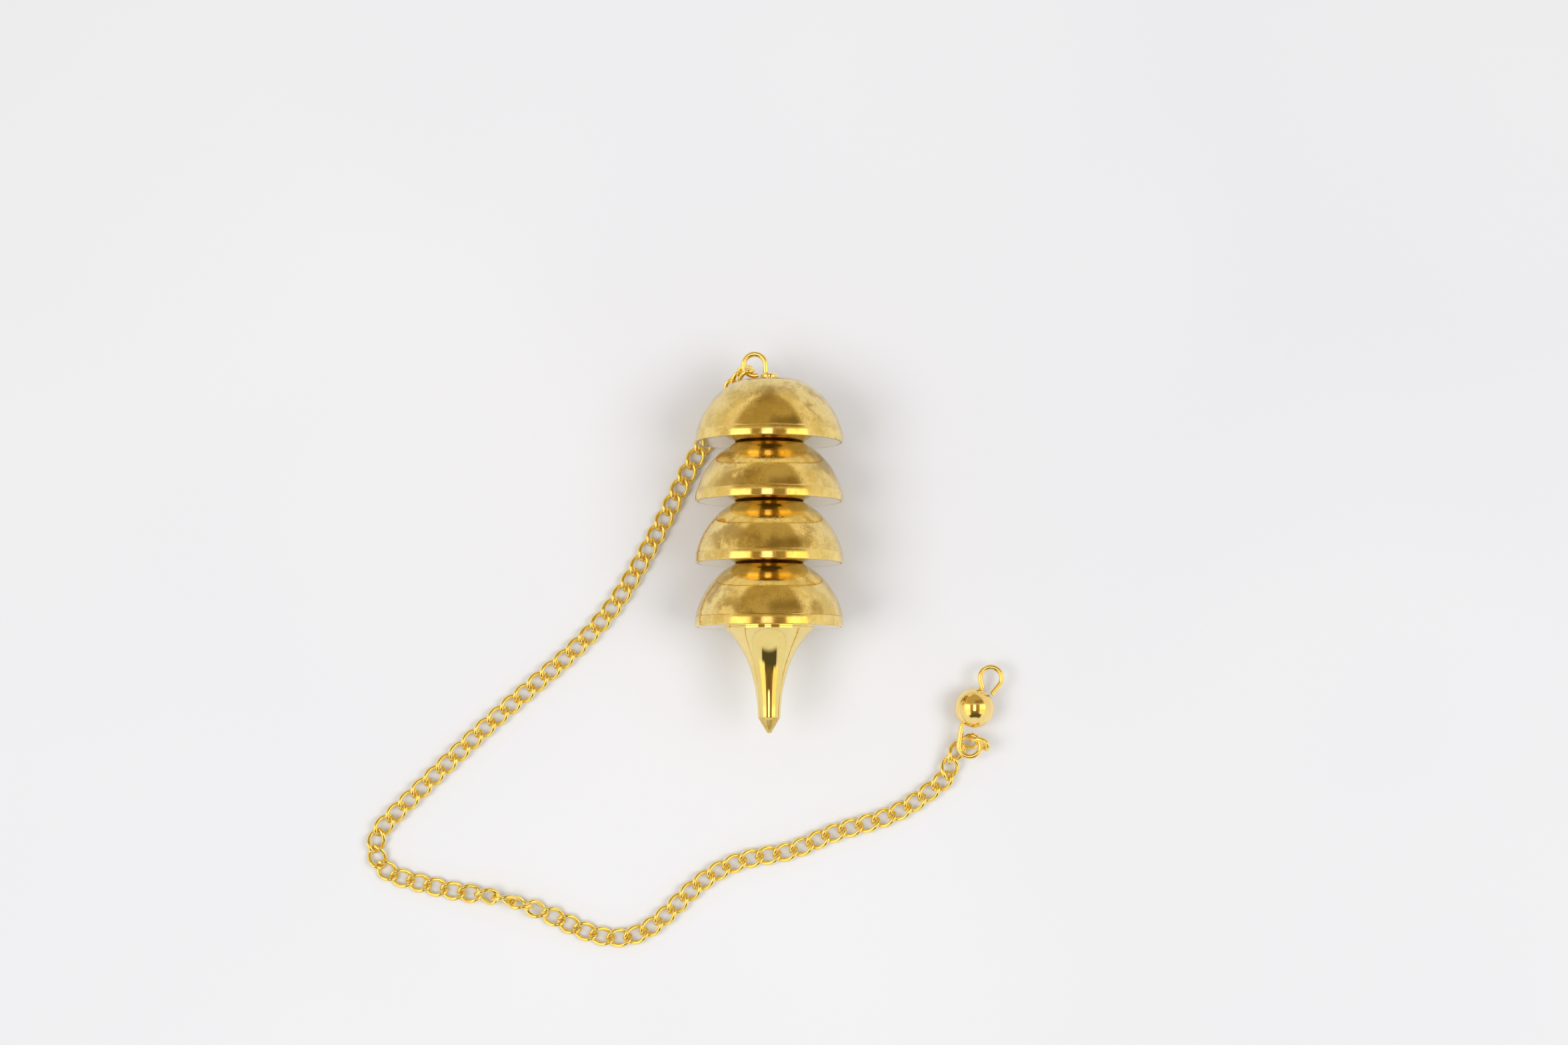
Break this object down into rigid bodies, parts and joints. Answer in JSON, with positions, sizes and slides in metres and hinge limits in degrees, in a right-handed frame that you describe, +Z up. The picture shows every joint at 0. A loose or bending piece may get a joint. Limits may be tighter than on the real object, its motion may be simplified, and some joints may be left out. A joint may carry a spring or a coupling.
{
  "type": "plumb bob",
  "caption": "Turned brass bob of stacked domed discs with a flared pointed tip, hung by a wire eye from a curb chain that ends in a ball on a looped pin.",
  "frame": {"origin": "on the resting surface, below the middle of the bob's bounding box, with the chain, pin and ball left out", "axes": "+Z up from the resting surface, +Y along the bob from its point to its eye, +X to the right seen from above"},
  "size_m": [0.1003, 0.0928, 0.023],
  "materials": {
    "brass_satin": "satin, lightly mottled and scratched",
    "brass_polished": "polished",
    "brass_rod": "machined",
    "gilt_wire": "polished",
    "gilt_chain": "polished",
    "gilt_ball": "mirror"
  },
  "bodies": {
    "bob": {"battery_1": "brass_satin", "battery_2": "brass_satin", "battery_3": "brass_satin", "battery_4": "brass_satin", "tip": "brass_polished", "tie_rod": "brass_rod", "eye_collar": "gilt_wire", "bob_eye": "gilt_wire"},
    "chain_01": {"chain_01": "gilt_chain"},
    "chain_02": {"chain_02": "gilt_chain"},
    "chain_03": {"chain_03": "gilt_chain"},
    "chain_04": {"chain_04": "gilt_chain"},
    "chain_05": {"chain_05": "gilt_chain"},
    "chain_06": {"chain_06": "gilt_chain"},
    "chain_07": {"chain_07": "gilt_chain"},
    "chain_08": {"chain_08": "gilt_chain"},
    "chain_09": {"chain_09": "gilt_chain"},
    "chain_10": {"chain_10": "gilt_chain"},
    "chain_11": {"chain_11": "gilt_chain"},
    "chain_12": {"chain_12": "gilt_chain"},
    "ball_pin": {"ball_pin": "gilt_wire"},
    "ball": {"ball": "gilt_ball"}
  },
  "joints": [
    {"name": "eye_swing", "type": "hinge", "parent": "bob", "child": "chain_01", "pos_m": [-0.0035, 0.0263, 0.0115], "axis": [0, 0, 1], "range_deg": [-3, 2]},
    {"name": "chain_bend_01", "type": "hinge", "parent": "chain_01", "child": "chain_02", "pos_m": [-0.01247, 0.01289, 0.00084], "axis": [0, 0, 1], "range_deg": [-20, 4]},
    {"name": "chain_bend_02", "type": "hinge", "parent": "chain_02", "child": "chain_03", "pos_m": [-0.01996, -0.00175, 0.00084], "axis": [0, 0, 1], "range_deg": [-18, 3]},
    {"name": "chain_bend_03", "type": "hinge", "parent": "chain_03", "child": "chain_04", "pos_m": [-0.0295, -0.01507, 0.00084], "axis": [0, 0, 1], "range_deg": [-18, 3]},
    {"name": "chain_bend_04", "type": "hinge", "parent": "chain_04", "child": "chain_05", "pos_m": [-0.04181, -0.02597, 0.00084], "axis": [0, 0, 1], "range_deg": [-18, 3]},
    {"name": "chain_bend_05", "type": "hinge", "parent": "chain_05", "child": "chain_06", "pos_m": [-0.05379, -0.03723, 0.00084], "axis": [0, 0, 1], "range_deg": [-18, 3]},
    {"name": "chain_bend_06", "type": "hinge", "parent": "chain_06", "child": "chain_07", "pos_m": [-0.06122, -0.05029, 0.00084], "axis": [0, 0, 1], "range_deg": [-20, 2]},
    {"name": "chain_bend_07", "type": "hinge", "parent": "chain_07", "child": "chain_08", "pos_m": [-0.04568, -0.05488, 0.00118], "axis": [0, 0, 1], "range_deg": [-12, 4]},
    {"name": "chain_bend_08", "type": "hinge", "parent": "chain_08", "child": "chain_09", "pos_m": [-0.03019, -0.06008, 0.00084], "axis": [0, 0, 1], "range_deg": [-18, 4]},
    {"name": "chain_bend_09", "type": "hinge", "parent": "chain_09", "child": "chain_10", "pos_m": [-0.01533, -0.05726, 0.00084], "axis": [0, 0, 1], "range_deg": [-20, 4]},
    {"name": "chain_bend_10", "type": "hinge", "parent": "chain_10", "child": "chain_11", "pos_m": [-0.00155, -0.04892, 0.00084], "axis": [0, 0, 1], "range_deg": [-20, 5]},
    {"name": "chain_bend_11", "type": "hinge", "parent": "chain_11", "child": "chain_12", "pos_m": [0.01408, -0.0441, 0.00084], "axis": [0, 0, 1], "range_deg": [-20, 5]},
    {"name": "ball_swing", "type": "hinge", "parent": "chain_12", "child": "ball_pin", "pos_m": [0.03305, -0.03109, 0.0031], "axis": [0, 0, 1], "range_deg": [-25, 2]},
    {"name": "ball_spin", "type": "hinge", "parent": "ball_pin", "child": "ball", "pos_m": [0.0322, -0.02565, 0.0031], "axis": [0.4695, 0.8829, 0], "continuous": true}
  ]
}
